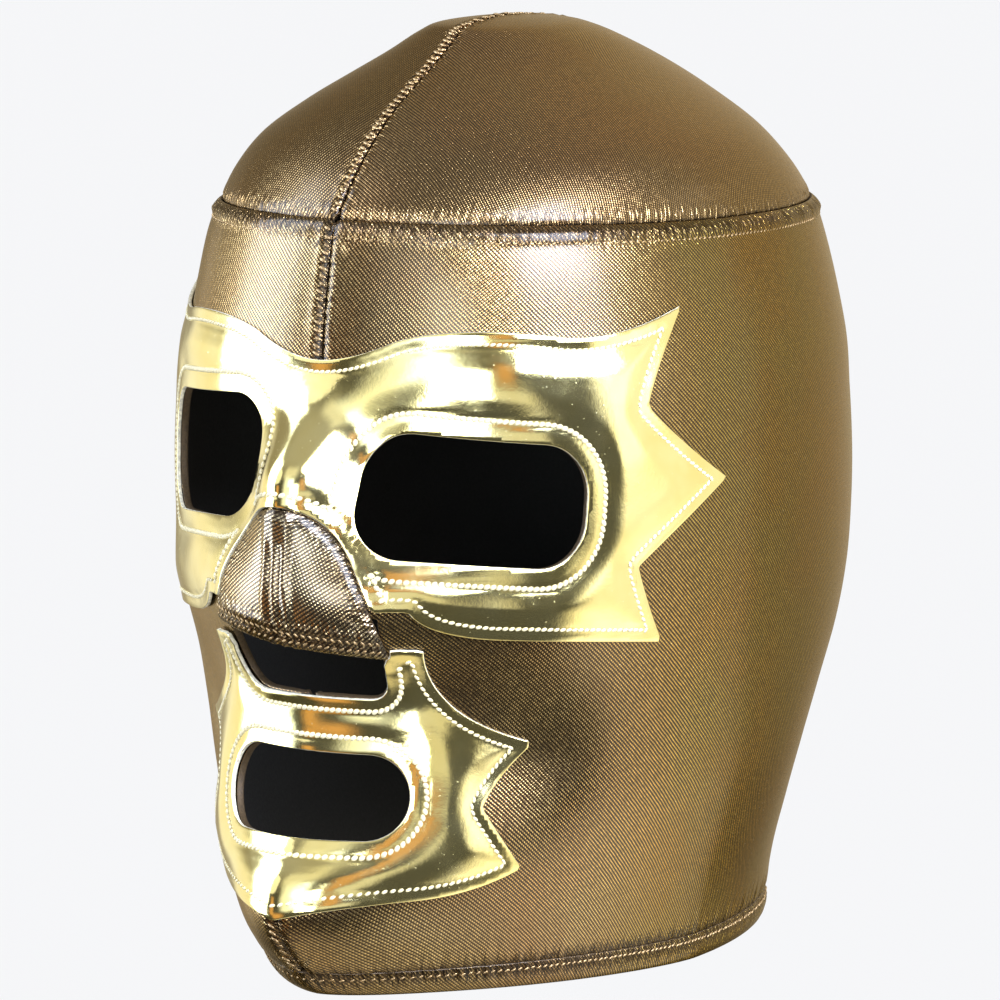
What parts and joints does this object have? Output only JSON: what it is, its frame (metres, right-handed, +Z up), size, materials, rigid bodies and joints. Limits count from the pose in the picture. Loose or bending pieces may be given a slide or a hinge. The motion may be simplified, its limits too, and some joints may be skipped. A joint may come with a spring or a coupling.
{
  "type": "luchador mask",
  "caption": "Full-head wrestling mask of bronze-gold lamé with mirror-gold vinyl round the eye and mouth openings, shown filled out",
  "frame": {"origin": "inside of the crown on the upright axis, where the mask sits on the top of the wearer's head", "axes": "+Z up, the face looks along -Y, +X towards the wearer's left; the axes follow the right-hand rule"},
  "size_m": [0.1596, 0.2305, 0.241],
  "materials": {
    "lame": "metallic twill cloth",
    "vinyl": "mirror-gold coated vinyl"
  },
  "bodies": {
    "root": {"crown_left": "lame", "crown_right": "lame", "side_left": "lame", "side_right": "lame", "nose_cover": "lame", "eye_panel": "vinyl", "mouth_panel": "vinyl", "neck_hem": "lame", "back_closure": "lame"}
  },
  "joints": []
}
